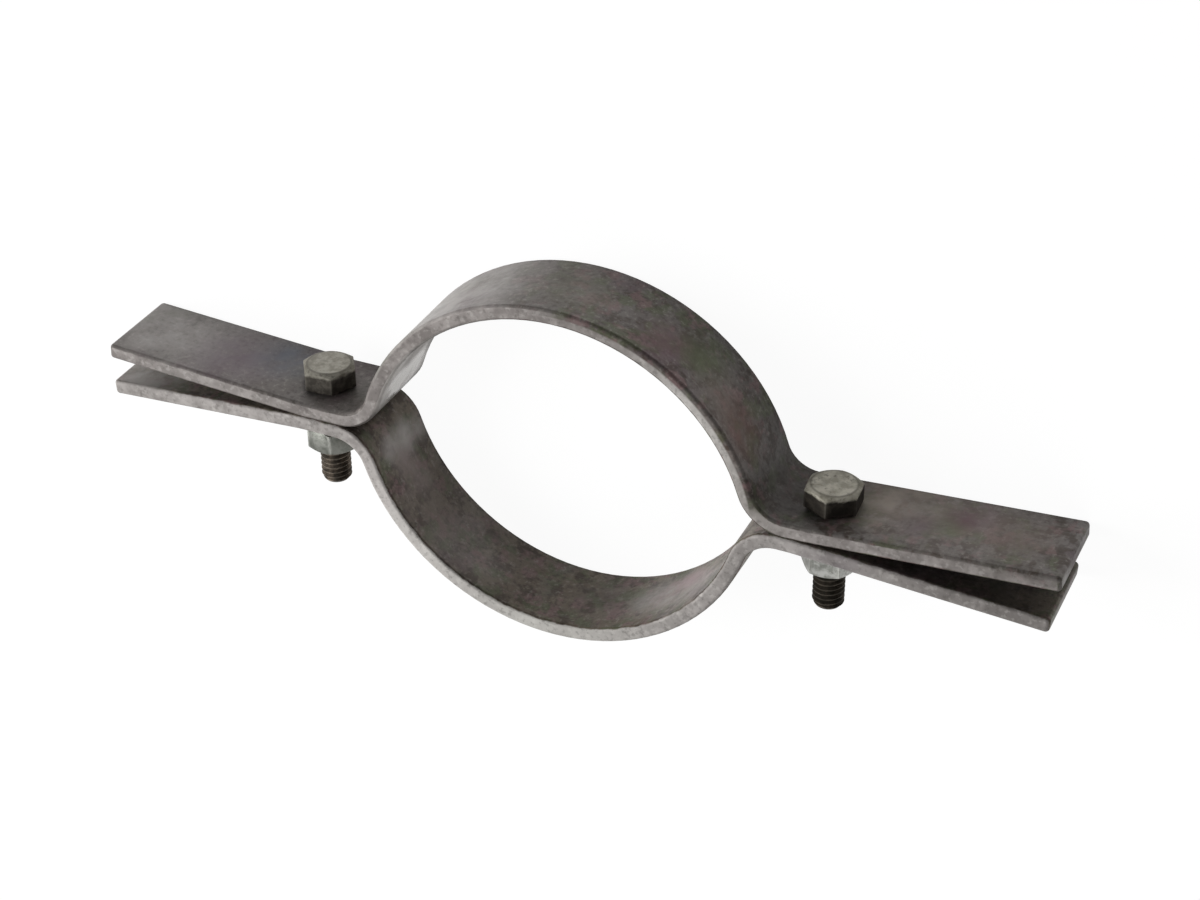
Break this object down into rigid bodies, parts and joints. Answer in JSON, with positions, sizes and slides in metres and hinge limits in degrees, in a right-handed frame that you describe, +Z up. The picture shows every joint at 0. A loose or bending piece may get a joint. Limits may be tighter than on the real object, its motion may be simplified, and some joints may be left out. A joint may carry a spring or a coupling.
{
  "type": "riser clamp",
  "caption": "Riser clamp of bent flat steel bar: halves with half-round saddles and long ears, drawn together round a pipe by hexagon bolts and nuts.",
  "frame": {"origin": "Centre of the bounding box on the floor plane: the clamp lies on the edges of its bars, and the pipe's axis runs up through the ring.", "axes": "+X along the ears to the right ear, +Y along the bolts towards their heads, on the upper half's side, +Z up, along the pipe's axis."},
  "size_m": [0.2561, 0.0958, 0.0254],
  "materials": {
    "band_steel": "hot-rolled bar with dark mill scale, uncoated",
    "bolt_steel": "plain forged head, dark rolled thread",
    "nut_steel": "thin zinc plate, slightly dull"
  },
  "bodies": {
    "upper_half": {"upper_band": "band_steel", "bolt_left": "bolt_steel", "bolt_right": "bolt_steel"},
    "lower_half": {"lower_band": "band_steel"},
    "left_nut": {"nut_left": "nut_steel"},
    "right_nut": {"nut_right": "nut_steel"}
  },
  "joints": [
    {"name": "clamp_opening", "type": "slide", "parent": "upper_half", "child": "lower_half", "axis": [0, -1, 0], "range_m": [0, 0.0138]},
    {"name": "left_nut_turn", "type": "hinge", "parent": "lower_half", "child": "left_nut", "pos_m": [-0.0691, 0, 0.0134], "axis": [0, -1, 0], "range_deg": [0, 3521]},
    {"name": "right_nut_turn", "type": "hinge", "parent": "lower_half", "child": "right_nut", "pos_m": [0.06855, 0, 0.0134], "axis": [0, -1, 0], "range_deg": [0, 3521]}
  ],
  "couplings": [
    {"joint": "left_nut_turn", "follows": "clamp_opening", "rad_per_m": 4452.7},
    {"joint": "right_nut_turn", "follows": "clamp_opening", "rad_per_m": 4452.7}
  ]
}
